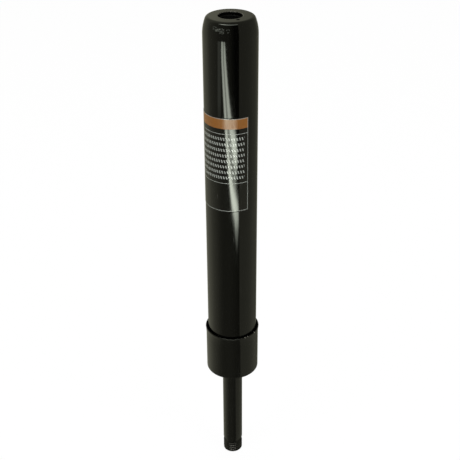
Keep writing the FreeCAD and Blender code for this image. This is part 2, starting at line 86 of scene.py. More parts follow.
class SeatPostTubeSizes(bpy.types.PropertyGroup):
    """The painted tube and its spun upper end."""

    radius: length(22.87, "Outside radius of the tube")
    wall: length(2.3, "Wall of the tube")
    top: length(348.5, "Level of the top face")
    bottom: length(36.5, "Level of the tube's lower end")
    flat_radius: length(17.6, "Radius where the flat top face ends")
    bend_radius: length(0.9, "Inside radius of the bend at the top face")
    shoulder_radius: length(37, "Long arc of the spun shoulder")
    mouth_radius: length(10.03, "Radius of the mouth")
    vent_radius: length(1.4, "Radius of the small hole beside the mouth")
    vent_offset: length(13, "Axis of the post to the small hole")
    vent_angle: angle(-62, "Direction of the small hole")
    segments: IntProperty(name="Segments", description="Faces round the tube", default=288, min=48)


class SeatPostCollarSizes(bpy.types.PropertyGroup):
    """The cup round the tube's lower end."""

    inside: length(23.5, "Inside radius of the cup")
    wall: length(1.2, "Wall of the cup")
    height: length(47.3, "Height of the cup")
    floor: length(1.5, "Floor of the cup")
    flare: length(0.57, "How far the mouth flares outwards")
    flare_height: length(9, "Height over which the mouth flares")
    groove_drop: length(2.6, "Rim to the fine groove")
    groove_depth: length(0.06, "Depth of the fine groove")
    groove_width: length(1.2, "Width of the fine groove")
    pin_hole: length(9.545, "Radius of the hole for the pin")
    shaft_hole: length(9.27, "Radius of that hole above the pin's cone")
    segments: IntProperty(name="Segments", description="Faces round the cup", default=288, min=48)


class SeatPostPinSizes(bpy.types.PropertyGroup):
    """The spindle: plain pin, thread and the shaft inside the post."""

    radius: length(9.525, "Radius of the plain pin")
    reach: length(109.5, "Underside of the collar to the pin's tip")
    thread_length: length(12, "Tip of the pin to the neck")
    thread_radius: length(9.4, "Radius at the thread's crests")
    thread_depth: length(1.3, "Depth of the thread")
    thread_pitch: length(2.54, "Rise of one turn of the thread")
    root_flat: length(0.4, "Width of the thread's roots")
    crest_flat: length(0.45, "Width of the thread's crests")
    neck_length: length(4.2, "Length of the neck above the thread")
    neck_radius: length(8, "Radius of that neck")
    shaft_radius: length(9.25, "Radius of the shaft inside the post")
    stub_radius: length(8, "Radius of the stub through the spring seat")
    segments: IntProperty(name="Segments", description="Faces round the pin", default=144, min=48)


class SeatPostSpringSizes(bpy.types.PropertyGroup):
    """The compression spring inside the post."""

    coil_radius: length(15, "Axis of the spring to the middle of its wire")
    wire_radius: length(2.75, "Radius of the wire")
    pitch: length(9.4, "Rise of one turn")
    base: length(182, "Level of the spring's lower end")
    length: length(84, "Length of the spring as fitted")
    ground: length(1.98, "How far the ends are ground into the wire")
    travel: length(25.4, "How far the post sinks on the spring")


class SeatPostLabelSizes(bpy.types.PropertyGroup):
    """The sheet label on the tube."""

    width: length(82, "Width round the tube")
    height: length(87.4, "Height of the label")
    base: length(182.1, "Level of the label's lower edge")
    lift: length(0.03, "Tube to the label's back")
    sheet: length(0.16, "Thickness of the sheet")
    corner: length(1.2, "Radius of the label's corners")
    right_edge: angle(-50.5, "Direction of the label's right-hand edge")


class SeatPostFinish(bpy.types.PropertyGroup):
    """Colours of the finishes."""

    tube_paint: colour((0.001, 0.001, 0.0008), "Gloss black of the tube")
    collar_paint: colour((0.0018, 0.0018, 0.0014), "Semi-gloss black of the cup")
    pin_paint: colour((0.0025, 0.0025, 0.002), "Semi-gloss black of the pin")
    label_ground: colour((0.0015, 0.0015, 0.0012), "Black ground of the label")
    label_band: colour((0.21, 0.077, 0.0095), "Band across the label's top")
    label_print: colour((0.34, 0.36, 0.33), "Pale print of the label")
    bare_steel: colour((0.52, 0.51, 0.49), "Turned and ground steel")
    spring_steel: colour((0.16, 0.15, 0.14), "Oiled spring steel")
    weld_metal: colour((0.3, 0.28, 0.26), "Weld beads")
    black_nylon: colour((0.0022, 0.0022, 0.0022), "Moulded black plastic")
    white_nylon: colour((0.72, 0.7, 0.64), "Turned white plastic")
    rubber: colour((0.015, 0.015, 0.015), "Black rubber")


class SeatPostStage(bpy.types.PropertyGroup):
    """Camera and studio."""

    camera: FloatVectorProperty(
        name="Camera",
        description="Place of the camera",
        default=(0.000452, -0.71708, 0.56492),
        subtype="TRANSLATION",
    )
    tilt: angle(29.98, "How far the camera looks down")
    yaw: angle(-0.153, "How far the camera turns to the right")
    roll: angle(-0.407, "How far the camera leans to the left")
    lens: FloatProperty(name="Lens", description="Focal length on a 36 mm sensor", default=71.74)
    floor: length(-109.6, "Level of the floor")
    ambient: FloatProperty(name="Ambient", description="Even light from the room", default=0.55, min=0)
    lamp_power: FloatProperty(
        name="Lamps", description="Power of each soft lamp", default=14, min=0, unit="POWER"
    )


GROUPS = {
    "seat_post_tube": SeatPostTubeSizes,
    "seat_post_collar": SeatPostCollarSizes,
    "seat_post_pin": SeatPostPinSizes,
    "seat_post_spring": SeatPostSpringSizes,
    "seat_post_label": SeatPostLabelSizes,
    "seat_post_finish": SeatPostFinish,
    "seat_post_stage": SeatPostStage,
}


# Meshes


# An edge that turns by more than this is shaded sharp
SHARP = math.radians(35)


def arc(centre, radius, first, last, steps):
    """Points (radius, level) on an arc, with angles in degrees."""
    turn = [math.radians(first + (last - first) * i / steps) for i in range(steps + 1)]
    return [(centre[0] + radius * math.cos(a), centre[1] + radius * math.sin(a)) for a in turn]


def rows_between(start, end, steps):
    """Evenly spaced points after start, up to and with end."""
    return [
        (start[0] + (end[0] - start[0]) * i / steps, start[1] + (end[1] - start[1]) * i / steps)
        for i in range(1, steps + 1)
    ]


def all_round(count):
    """Evenly spaced directions round the axis, in radians."""
    return [2 * math.pi * i / count for i in range(count)]


def new_piece(name, mesh_data):
    """Links a bmesh to the scene as a finished piece."""
    bmesh.ops.recalc_face_normals(mesh_data, faces=mesh_data.faces)
    mesh = bpy.data.meshes.new(name)
    mesh_data.to_mesh(mesh)
    mesh_data.free()
    mesh.shade_smooth()
    mesh.set_sharp_from_angle(angle=SHARP)
    piece = bpy.data.objects.new(name, mesh)
    bpy.context.scene.collection.objects.link(piece)
    return piece


def spun(name, profile, segments, shape=None):
    """Turns a closed profile of (radius, level) about Z; shape(turn, radius, level) may move each point."""
    made = bmesh.new()
    rings = []
    for radius, height in profile:
        if radius == 0:
            rings.append([made.verts.new((0, 0, height))])
            continue
        ring = []
        for turn in all_round(segments):
            out, up = shape(turn, radius, height) if shape else (radius, height)
            ring.append(made.verts.new((out * math.cos(turn), out * math.sin(turn), up)))
        rings.append(ring)
    for k, lower in enumerate(rings):
        upper = rings[(k + 1) % len(rings)]
        if len(lower) == 1 and len(upper) == 1:
            continue
        for i in range(segments):
            j = (i + 1) % segments
            places = ((lower, i), (lower, j), (upper, j), (upper, i))
            corners = [ring[at % len(ring)] for ring, at in places]
            made.faces.new(list(dict.fromkeys(corners)))
    return new_piece(name, made)


def dents(places, top, turn, height):
    """Depth in metres of smooth dents, each (direction, drop below top, half width, half height, depth).

    Direction and half width are in degrees, the other three in millimetres.
    """
    depth = 0
    drop = (top - height) / MM
    for at, middle, wide, tall, deep in places:
        across = (math.degrees(turn) - at + 180) % 360 - 180
        depth += deep * math.exp(-((across / wide) ** 2) - ((drop - middle) / tall) ** 2)
    return depth * MM


def peak(value, middle, reach):
    """1 at the middle, falling to 0 at the reach on both sides of it."""
    return max(0, 1 - abs(value - middle) / reach)


def plain_mesh(piece, material):
    """Turns the result of a piece's modifiers into its own plain mesh."""
    bpy.context.view_layer.update()
    graph = bpy.context.evaluated_depsgraph_get()
    mesh = bpy.data.meshes.new_from_object(piece.evaluated_get(graph))
    piece.modifiers.clear()
    piece.data = mesh
    mesh.materials.clear()
    mesh.materials.append(material)


# Geometry Nodes


class Tree:
    """A node tree under construction."""

    def __init__(self, tree):
        self.tree = tree

    def node(self, kind, inputs=(), **settings):
        """A new node, with its inputs linked or set."""
        made = self.tree.nodes.new(kind)
        for name, value in settings.items():
            setattr(made, name, value)
        for key, value in dict(inputs).items():
            socket = made.inputs[key]
            if isinstance(value, bpy.types.NodeSocket):
                self.tree.links.new(value, socket)
            else:
                socket.default_value = value
        return made

    def out(self, kind, inputs=(), **settings):
        """The first output of a new node."""
        return self.node(kind, inputs, **settings).outputs[0]

    def math(self, operation, *values):
        """A math node's output."""
        return self.out("ShaderNodeMath", dict(enumerate(values)), operation=operation)

    def fold(self, operation, values):
        """The output of math nodes in a row, which take in the values one by one."""
        result = values[0]
        for value in values[1:]:
            result = self.math(operation, result, value)
        return result

    def plus(self, *values):
        """The sum of the values."""
        return self.fold("ADD", values)

    def minus(self, *values):
        """The first value less the others."""
        return self.fold("SUBTRACT", values)

    def times(self, *values):
        """The product of the values."""
        return self.fold("MULTIPLY", values)

    def over(self, value, divisor):
        """One value divided by another."""
        return self.math("DIVIDE", value, divisor)

    def least(self, *values):
        """The least of the values."""
        return self.fold("MINIMUM", values)

    def most(self, *values):
        """The greatest of the values."""
        return self.fold("MAXIMUM", values)

    def parts(self, place):
        """The x, y and z of a place."""
        return self.node("ShaderNodeSeparateXYZ", {0: place}).outputs

    def joined(self, x, y, z):
        """The place with this x, y and z."""
        return self.out("ShaderNodeCombineXYZ", {0: x, 1: y, 2: z})

    def off_axis(self, x, y):
        """The distance of a place from the axis."""
        return self.math("SQRT", self.plus(self.times(x, x), self.times(y, y)))

    def own_place(self):
        """Object coordinates, which move with their piece."""
        return self.node("ShaderNodeTexCoord").outputs["Object"]

    def mix(self, factor, low, high):
        """A colour between two."""
        made = self.node("ShaderNodeMix", {0: factor, 6: low, 7: high}, data_type="RGBA")
        return made.outputs[2]

    def blend(self, factor, low, high):
        """A value between two."""
        return self.out("ShaderNodeMix", {0: factor, 2: low, 3: high})

    def ramp(self, value, low, high, to_low=0.0, to_high=1.0):
        """A value mapped from one range to another, held at the ends."""
        return self.out("ShaderNodeMapRange", {0: value, 1: low, 2: high, 3: to_low, 4: to_high})

    def band(self, value, low, high, soft):
        """1 between low and high, with soft edges."""
        rise = self.ramp(value, low - soft, low + soft)
        fall = self.ramp(value, high - soft, high + soft, 1.0, 0.0)
        return self.times(rise, fall)

    def noise(self, place, scale, detail=2.0, roughness=0.5, distortion=0.0):
        """A noise texture's value."""
        inputs = {
            "Vector": place,
            "Scale": scale,
            "Detail": detail,
            "Roughness": roughness,
            "Distortion": distortion,
        }
        return self.out("ShaderNodeTexNoise", inputs)


def modifier_tree(name, lengths, counts=()):
    """A geometry tree with named lengths and counts and a material as its inputs, ready to be filled."""
    tree = bpy.data.node_groups.new(name, "GeometryNodeTree")
    kinds = {"Geometry": "NodeSocketGeometry"}
    kinds |= dict.fromkeys(lengths, "NodeSocketFloat")
    kinds |= dict.fromkeys(counts, "NodeSocketInt")
    kinds["Material"] = "NodeSocketMaterial"
    for label, kind in kinds.items():
        tree.interface.new_socket(label, in_out="INPUT", socket_type=kind)
    tree.interface.new_socket("Geometry", in_out="OUTPUT", socket_type="NodeSocketGeometry")
    build = Tree(tree)
    build.into = build.node("NodeGroupInput").outputs
    return build


def end_tree(build, geometry):
    """Ends a geometry tree in Realize Instances and Set Material."""
    real = build.out("GeometryNodeRealizeInstances", {0: geometry})
    painted = {"Geometry": real, "Material": build.into["Material"]}
    finish = build.out("GeometryNodeSetMaterial", painted)
    build.node("NodeGroupOutput", {0: finish})


def run_tree(piece, build, values):
    """Puts a geometry tree on a piece and sets its inputs by their identifiers."""
    modifier = piece.modifiers.new(build.tree.name, "NODES")
    modifier.node_group = build.tree
    for item in build.tree.interface.items_tree:
        if item.item_type == "SOCKET" and item.in_out == "INPUT" and item.name in values:
            modifier[item.identifier] = values[item.name]


def thread_tree():
    """Cuts a right-hand thread into the rows of a turned bar."""
    lengths = ("Pitch", "Crest Radius", "Depth", "Root Flat", "Crest Flat", "Tip", "First Root", "End")
    build = modifier_tree("Cut Thread", lengths)
    into = build.into
    x, y, z = build.parts(build.out("GeometryNodeInputPosition"))
    radius = build.off_axis(x, y)
    turn = build.over(build.math("ARCTAN2", y, x), 2 * math.pi)
    rise = build.over(build.minus(z, into["Tip"], into["First Root"]), into["Pitch"])
    phase = build.math("FRACT", build.plus(build.minus(rise, turn), 0.5))
    away = build.times(build.math("ABSOLUTE", build.minus(phase, 0.5)), into["Pitch"])
    root = build.over(into["Root Flat"], 2)
    flank = build.over(build.minus(into["Pitch"], into["Crest Flat"], into["Root Flat"]), 2)
    up = build.over(build.minus(away, root), flank)
    up = build.out("ShaderNodeClamp", {0: up})
    depth = build.times(into["Depth"], build.minus(1.0, up))
    cut = build.minus(into["Crest Radius"], depth)
    # The bar's axis is kept from a division by nothing
    scale = build.over(build.least(radius, cut), build.most(radius, 1e-6))
    moved = build.joined(build.times(x, scale), build.times(y, scale), z)
    zone = build.out("FunctionNodeCompare", {0: z, 1: into["End"]}, operation="LESS_THAN")
    end_tree(build, build.out("GeometryNodeSetPosition", {0: into["Geometry"], 1: zone, 2: moved}))
    return build


def coil_tree():
    """Winds a round wire into a right-hand spring and grinds its two ends flat."""
    lengths = ("Coil Radius", "Wire Radius", "Pitch", "Base", "Length", "Ground")
    build = modifier_tree("Wind Spring", lengths, ("Steps", "Wire Sides"))
    into = build.into
    line = build.out("GeometryNodeCurvePrimitiveLine", {"End": (0, 0, 1)})
    points = {"Curve": line, "Count": into["Steps"]}
    line = build.out("GeometryNodeResampleCurve", points)
    share = build.node("GeometryNodeSplineParameter").outputs["Factor"]
    wire = build.times(into["Wire Radius"], 2)
    height = build.plus(build.minus(into["Length"], wire), build.times(into["Ground"], 2))
    up = build.times(share, height)
    turn = build.times(build.over(up, into["Pitch"]), 2 * math.pi)
    x = build.times(build.math("COSINE", turn), into["Coil Radius"])
    y = build.times(build.math("SINE", turn), into["Coil Radius"])
    start = build.plus(into["Base"], build.minus(into["Wire Radius"], into["Ground"]))
    helix = build.joined(x, y, build.plus(start, up))
    helix = build.out("GeometryNodeSetPosition", {0: line, 2: helix})
    section = {"Resolution": into["Wire Sides"], "Radius": into["Wire Radius"]}
    section = build.out("GeometryNodeCurvePrimitiveCircle", section)
    sweep = {"Curve": helix, "Profile Curve": section, "Fill Caps": True}
    wound = build.out("GeometryNodeCurveToMesh", sweep)
    x, y, z = build.parts(build.out("GeometryNodeInputPosition"))
    top = build.plus(into["Base"], into["Length"])
    flat = build.joined(x, y, build.least(build.most(z, into["Base"]), top))
    ground = build.out("GeometryNodeSetPosition", {0: wound, 2: flat})
    end_tree(build, build.out("GeometryNodeSetShadeSmooth", {0: ground}))
    return build


# Shader groups


def shader_group(name, inputs, outputs):
    """A shader group with named values and outputs, ready to be filled."""
    tree = bpy.data.node_groups.new(name, "ShaderNodeTree")
    for label, value in inputs.items():
        tree.interface.new_socket(label, in_out="INPUT", socket_type="NodeSocketFloat").default_value = value
    for label in outputs:
        tree.interface.new_socket(label, in_out="OUTPUT", socket_type="NodeSocketFloat")
    build = Tree(tree)
    build.into = build.node("NodeGroupInput").outputs
    build.place = build.own_place()
    return build


def orange_peel():
    """The ripple of a sprayed and baked coat."""
    build = shader_group("Orange Peel", {"Ripple Scale": 420, "Fine Share": 0.25}, ["Height"])
    scale = build.into["Ripple Scale"]
    broad = build.noise(build.place, scale, detail=1.0)
    fine = build.noise(build.place, build.times(scale, 4.0), detail=1.0)
    build.node("NodeGroupOutput", {0: build.blend(build.into["Fine Share"], broad, fine)})
    return build.tree


def handling():
    """Smears, fine upright scuffs and dust from handling and packing."""
    values = {"Smear Scale": 26, "Scuff Share": 0.5}
    build = shader_group("Handling Marks", values, ["Smear", "Scuff", "Dust"])
    cloud = build.noise(build.place, build.into["Smear Scale"], detail=4.0, roughness=0.6, distortion=0.6)
    smear = build.ramp(cloud, 0.44, 0.68)
    upright = (1.0, 1.0, 0.06)
    stretched = build.out("ShaderNodeMapping", {"Vector": build.place, "Scale": upright})
    scratch = build.ramp(build.noise(stretched, 900.0, detail=3.0, roughness=0.7), 0.62, 0.72)
    patch = build.ramp(build.noise(build.place, 34.0), 0.5, 0.62)
    scuff = build.times(scratch, patch, build.into["Scuff Share"])
    spots = build.node("ShaderNodeTexVoronoi", {"Vector": build.place, "Scale": 520.0}, feature="F1")
    chosen = build.ramp(spots.outputs["Color"], 0.93, 0.95)
    dust = build.times(build.ramp(spots.outputs["Distance"], 0.05, 0.12, 1.0, 0.0), chosen)
    build.node("NodeGroupOutput", {0: smear, 1: scuff, 2: dust})
    return build.tree


def turning_marks():
    """Fine rings that a lathe leaves, along the axis and across the faces."""
    build = shader_group("Turning Marks", {"Ring Scale": 2600, "Waver": 0.3}, ["Rings", "Grain"])
    x, y, z = build.parts(build.place)
    rings = build.noise(build.joined(build.off_axis(x, y), 0.0, z), build.into["Ring Scale"])
    rings = build.blend(build.into["Waver"], rings, build.noise(build.place, 90.0))
    build.node("NodeGroupOutput", {0: rings, 1: build.noise(build.place, 1500.0, detail=3.0)})
    return build.tree


def rubbed_edges_and_glints():
    """Where a coat is rubbed through, from the piece's own wear values, which on the pin's thread also paint
    a glint.
    """
    build = shader_group("Edge Wear", {"Reach": 0.5, "Raggedness": 0.6}, ["Wear"])
    worn_and_glinting = build.node("ShaderNodeAttribute", attribute_name="wear_and_glint").outputs["Fac"]
    ragged = build.noise(build.place, 1100.0, detail=4.0, roughness=0.7)
    ragged = build.times(build.minus(ragged, 0.5), build.into["Raggedness"])
    wear_and_glint = build.ramp(build.plus(worn_and_glinting, ragged, build.into["Reach"]), 0.95, 1.1)
    build.node("NodeGroupOutput", {0: build.times(wear_and_glint, build.ramp(worn_and_glinting, 0.02, 0.2))})
    return build.tree


SHARED = {
    "Orange Peel": orange_peel,
    "Handling Marks": handling,
    "Turning Marks": turning_marks,
    "Edge Wear": rubbed_edges_and_glints,
}


def shared(build, name, **values):
    """The outputs of a shared group, which is built once and placed with its own values."""
    tree = bpy.data.node_groups.get(name) or SHARED[name]()
    made = build.node("ShaderNodeGroup", node_tree=tree)
    for key, value in values.items():
        made.inputs[key.replace("_", " ").title()].default_value = value
    return made.outputs


# Materials


# What lies on a finish or shows through it
DUST = (0.16, 0.16, 0.14, 1)
SCUFFED = (0.05, 0.05, 0.045, 1)
SCUFFED_LABEL = (0.12, 0.12, 0.11, 1)
# Pale bare metal where a coat is rubbed through, which on the pin's thread is also a painted glint
RUBBED_BARE_AND_GLINT = (0.42, 0.4, 0.36, 1)
HEAT_TINT = (0.1, 0.075, 0.06, 1)


def material(name):
    """A new material and its empty tree."""
    made = bpy.data.materials.new(name)
    made.use_nodes = True
    made.node_tree.nodes.clear()
    return made, Tree(made.node_tree)


def finish(build, base, roughness, height, relief, metallic=0.0, specular=0.5):
    """The Principled surface at the end of a material, with its relief in metres."""
    bump = build.out("ShaderNodeBump", {"Height": height, "Distance": relief, "Strength": 1.0})
    inputs = {
        "Base Color": base,
        "Roughness": roughness,
        "Metallic": metallic,
        "Specular IOR Level": specular,
        "Normal": bump,
    }
    build.node("ShaderNodeOutputMaterial", {0: build.out("ShaderNodeBsdfPrincipled", inputs)})


def rgba(value, share=1.0):
    """A colour property, or a share of its brightness, as a colour socket's value."""
    return (*(part * share for part in value), 1.0)


def gloss_paint(name, base, rough, ripple, relief, smear, dust, scuff, bare_and_glint):
    """A sprayed black coat: ripple, smears, scuffs, dust and worn edges, whose pale bare metal on the pin's
    thread is also a painted glint.
    """
    made, build = material(name)
    peel = shared(build, "Orange Peel", ripple_scale=ripple)["Height"]
    marks = shared(build, "Handling Marks")
    wear_and_glint = shared(build, "Edge Wear")["Wear"]
    base = build.mix(build.times(marks["Dust"], dust), rgba(base), DUST)
    base = build.mix(build.times(marks["Scuff"], scuff), base, SCUFFED)
    # Bare metal where the coat is rubbed through, and on the pin's thread a painted glint
    base = build.mix(build.times(wear_and_glint, bare_and_glint), base, RUBBED_BARE_AND_GLINT)
    scuff_rough, bare_rough, bare_metal = 0.2, 0.42, 0.8
    rough = build.plus(rough, build.times(marks["Smear"], smear), build.times(marks["Scuff"], scuff_rough))
    rough = build.blend(wear_and_glint, rough, bare_rough)
    finish(build, base, rough, peel, relief, metallic=build.times(wear_and_glint, bare_and_glint * bare_metal))
    return made


def steel(name, base, rough, rings, relief):
    """Turned or ground steel."""
    made, build = material(name)
    marks = shared(build, "Turning Marks", ring_scale=rings)
    smear = shared(build, "Handling Marks")["Smear"]
    stain, stain_shade, grain_rough, smear_rough = 0.35, 0.62, 0.14, 0.12
    base = build.mix(build.times(smear, stain), rgba(base), rgba(base, stain_shade))
    rough = build.plus(rough, build.times(marks["Grain"], grain_rough), build.times(smear, smear_rough))
    finish(build, base, rough, marks["Rings"], relief, metallic=1.0)
    return made


def plastic(name, base, rough, grain, relief, specular=0.5):
    """Moulded or turned plastic, and rubber."""
    made, build = material(name)
    grain = build.noise(build.own_place(), grain, detail=3.0, roughness=0.6)
    smear = shared(build, "Handling Marks")["Smear"]
    paler, pale_share, smear_rough = 1.6, 0.45, 0.1
    base = build.mix(build.times(grain, pale_share), rgba(base), rgba(base, paler))
    rough = build.plus(rough, build.times(smear, smear_rough))
    finish(build, base, rough, grain, relief, specular=specular)
    return made


def weld(name, base):
    """A weld bead with its ripples and heat tint."""
    made, build = material(name)
    place = build.own_place()
    ripple = build.noise(place, 700.0, detail=3.0, roughness=0.6, distortion=1.0)
    tint = build.ramp(build.noise(place, 120.0), 0.4, 0.65)
    base = build.mix(tint, rgba(base), HEAT_TINT)
    finish(build, base, build.ramp(ripple, 0.3, 0.7, 0.35, 0.6), ripple, 0.4 * MM, metallic=0.9)
    return made


def label_print(look):
    """The label's print, in millimetres on its UV map: u from its right edge, v from its lower edge."""
    made, build = material("printed_label")
    label = bpy.context.scene.seat_post_label
    wide, tall = label.width / MM, label.height / MM
    u, v, _ = build.parts(build.out("ShaderNodeUVMap", uv_map="print"))
    edge = build.least(u, build.minus(wide, u), v, build.minus(tall, v))
    border_from, border_to, border_share = 0.75, 1.2, 0.75
    border = build.times(build.band(edge, border_from, border_to, 0.06), border_share)
    soft, band_foot, band_inset = 0.05, tall - 9.7, 0.7
    band = build.ramp(v, band_foot - soft, band_foot + soft)
    band = build.times(band, build.ramp(edge, band_inset, band_inset + soft))
    inside = build.ramp(edge, 1.0, 1.1)
    rules, half_rule = [], 0.18
    for level in (73.1, 27.7):
        rules.append(build.times(build.band(v, level - half_rule, level + half_rule, soft), inside))
    # Rows of slanted strokes: a pattern only
    first_row, last_row, row_pitch = 30.7, 71.7, 5.1
    stroke_pitch, slope, margin = 2.3, -0.3, 4.2
    row = build.over(build.minus(v, first_row), row_pitch)
    in_row = build.times(build.math("FRACT", row), row_pitch)
    slant = build.plus(build.times(in_row, slope), build.math("FLOOR", row))
    stroke = build.over(build.plus(u, slant), stroke_pitch)
    stroke = build.times(build.math("FRACT", stroke), stroke_pitch)
    dash = build.times(build.band(in_row, 1.0, 3.5, 0.12), build.band(stroke, 0.3, 1.3, 0.15))
    field = build.times(build.band(v, first_row, last_row, 0.1), build.band(u, margin, wide - margin, 0.1))
    pale = build.most(border, *rules, build.times(dash, field))
    grain = build.noise(build.own_place(), 3000.0)
    marks = shared(build, "Handling Marks")
    thin = build.times(pale, build.ramp(grain, 0.2, 0.6, 0.7, 1.0))
    base = build.mix(band, rgba(look.label_ground), rgba(look.label_band))
    base = build.mix(thin, base, rgba(look.label_print))
    base = build.mix(build.times(marks["Scuff"], 0.5), base, SCUFFED_LABEL)
    ground_rough, band_rough, smear_rough = 0.07, 0.2, 0.03
    rough = build.blend(band, ground_rough, band_rough)
    rough = build.plus(rough, build.times(marks["Smear"], smear_rough))
    finish(build, base, rough, build.most(band, pale), 0.01 * MM, specular=0.65)
    return made


def make_materials():
    """Every finish of the object, by the record's slot names."""
    look = bpy.context.scene.seat_post_finish
    tube = {"rough": 0.065, "ripple": 420, "relief": 0.004 * MM}
    tube |= {"smear": 0.03, "dust": 0.5, "scuff": 0.4, "bare_and_glint": 0.9}
    cup = {"rough": 0.13, "ripple": 600, "relief": 0.003 * MM}
    cup |= {"smear": 0.05, "dust": 0.5, "scuff": 0.5, "bare_and_glint": 1.0}
    pin = {"rough": 0.15, "ripple": 800, "relief": 0.003 * MM}
    pin |= {"smear": 0.08, "dust": 0.7, "scuff": 0.8, "bare_and_glint": 0.6}
    turned = {"rough": 0.24, "rings": 2600, "relief": 0.02 * MM}
    oiled = {"rough": 0.32, "rings": 1400, "relief": 0.02 * MM}
    moulded = {"rough": 0.4, "grain": 1300, "relief": 0.03 * MM, "specular": 0.1}
    machined = {"rough": 0.38, "grain": 900, "relief": 0.02 * MM}
    rubber = {"rough": 0.75, "grain": 1800, "relief": 0.06 * MM}
    return {
        "tube_paint": gloss_paint("tube_gloss_black", look.tube_paint, **tube),
        "collar_paint": gloss_paint("cup_gloss_black", look.collar_paint, **cup),
        "pin_paint": gloss_paint("pin_gloss_black", look.pin_paint, **pin),
        "bright_steel": steel("turned_steel", look.bare_steel, **turned),
        "spring_steel": steel("oiled_spring_steel", look.spring_steel, **oiled),
        "weld_metal": weld("weld_bead", look.weld_metal),
        "black_nylon": plastic("moulded_black_nylon", look.black_nylon, **moulded),
        "white_nylon": plastic("turned_white_nylon", look.white_nylon, **machined),
        "black_rubber": plastic("moulded_rubber", look.rubber, **rubber),
        "label_film": label_print(look),
    }


MATERIALS = {}


def dress(piece, body, slot, *nodes):
    """Gives a piece its finish, its body and the CAD nodes that it stands for."""
    piece.data.materials.clear()
    piece.data.materials.append(MATERIALS[slot])
    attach(piece, body)
    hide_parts(*nodes)


def set_wear_and_glint(piece, worn_and_glinting):
    """Writes the wear of each vertex from a function of its place, which on the pin's thread also holds a
    painted glint.
    """
    values = piece.data.attributes.new("wear_and_glint", "FLOAT", "POINT")
    values.data.foreach_set("value", [worn_and_glinting(v.co) for v in piece.data.vertices])


# Operators


class SeatPostOperator:
    """What the operators of this file share."""

    bl_options = {"REGISTER", "UNDO"}


class SEATPOST_OT_finishes(SeatPostOperator, bpy.types.Operator):
    """Make the finishes and give them to the pieces that stay as they were packed"""

    bl_idname = "seatpost.finishes"
    bl_label = "Finishes"

    def execute(self, context):
        MATERIALS.update(make_materials())
        slots = {part["node"]: part["material_slot"] for part in frame["record"]["subparts"]}
        for name, node in frame["nodes"].items():
            node.data.materials.clear()
            node.data.materials.append(MATERIALS[slots[name]])
        return {"FINISHED"}


class SEATPOST_OT_tube(SeatPostOperator, bpy.types.Operator):
    """Spin the painted tube with its drawn-in end and the small hole beside the mouth"""

    bl_idname = "seatpost.tube"
    bl_label = "Tube"

    def execute(self, context):
        size = context.scene.seat_post_tube
        top, mouth, vent = size.top, size.mouth_radius, size.vent_radius
        bend = size.bend_radius + size.wall
        centre = size.radius - size.shoulder_radius
        meet = math.degrees(math.acos((size.flat_radius - centre) / (size.shoulder_radius - bend)))
        bend_centre = (size.flat_radius, top - bend)
        start = top - bend - (size.shoulder_radius - bend) * math.sin(math.radians(meet))
        bore, under = size.radius - size.wall, top - size.wall
        lip, end = 0.5 * MM, 0.35 * MM
        profile = arc((size.radius - end, size.bottom + end), end, -90, 0, 4)
        profile += rows_between(profile[-1], (size.radius, start), 60)
        profile += arc((centre, start), size.shoulder_radius, 0, meet, 40)[1:]
        profile += arc(bend_centre, bend, meet, 90, 14)[1:]
        profile += rows_between(profile[-1], (mouth + lip, top), 12)
        profile += arc((mouth + lip, top - lip), lip, 90, 180, 6)[1:]
        profile += [(mouth, under), (size.flat_radius, under)]
        profile += arc(bend_centre, size.bend_radius, 90, meet, 6)[1:]
        profile += arc((centre, start), size.shoulder_radius - size.wall, meet, 0, 8)[1:]
        profile += [(bore, size.bottom + end), (bore + end, size.bottom)]
        # The tool that drew the end in left shallow hollows and a rough patch on the shoulder
        hollows = [
            (-122, 4.6, 4, 0.9, 0.06),
            (-108, 6.2, 5, 1.3, 0.09),
            (-95, 6.6, 2.5, 1.1, 0.08),
            (-49, 13, 1.6, 0.6, 0.12),
        ]
        patches = [(-112, 6.5, 26, 4.5, 0.05), (-60, 7, 40, 4, 0.014)]
        below, fade, stretch, ripple_depth = 3 * MM, 8 * MM, 3.2, 0.02 * MM
        coarse, fine, broad = 290, 560, 110
        fine_share, patch_depth, sink = 0.5, 0.8, 0.3

        def spun_shape(turn, radius, height):
            in_mouth = radius < mouth + lip
            in_bore = radius < bore and height < top - 2 * MM
            if in_mouth or in_bore or height < start - below:
                return radius, height
            place = Vector((math.cos(turn) * radius, math.sin(turn) * radius, height * stretch))
            rough = noise.noise(place * coarse) + fine_share * noise.noise(place * fine)
            up = min(max((height - start + below) / fade, 0), 1)
            ripple = (noise.noise(place * broad) + 1) * ripple_depth
            patch = dents(patches, top, turn, height) * (rough + patch_depth)
            deep = up * (dents(hollows, top, turn, height) + ripple + patch)
            return radius - deep, height - (deep * sink if height > top - bend else 0)

        piece = spun("tube_shell", profile, size.segments, spun_shape)
        foot, edge, head = top - 8 * MM, top - 0.35 * MM, top + 4 * MM
        wide, wide_level = vent + 0.5 * MM, top + 0.15 * MM
        outline = [(0, foot), (vent, foot), (vent, edge), (wide, wide_level), (wide, head), (0, head)]
        drill = spun("drill", outline, 32)
        where = Vector((math.cos(size.vent_angle), math.sin(size.vent_angle), 0)) * size.vent_offset
        drill.data.transform(Matrix.Translation(where))
        cut = piece.modifiers.new("vent", "BOOLEAN")
        cut.operation, cut.object, cut.solver = "DIFFERENCE", drill, "EXACT"
        plain_mesh(piece, MATERIALS["tube_paint"])
        bpy.data.objects.remove(drill)
        piece.data.set_sharp_from_angle(angle=SHARP)
        mouth_wear, vent_wear = 0.55, 0.6

        def worn_and_glinting(co):
            if co.z <= top - 1 * MM:
                return 0
            from_vent = math.hypot(co.x - where.x, co.y - where.y)
            at_mouth = peak(math.hypot(co.x, co.y), mouth + 0.3 * MM, 0.6 * MM)
            at_vent = peak(from_vent, vent + 0.2 * MM, 0.5 * MM)
            return max(at_mouth * mouth_wear, at_vent * vent_wear)

        set_wear_and_glint(piece, worn_and_glinting)
        dress(piece, "post", "tube_paint", "post_tube")
        return {"FINISHED"}


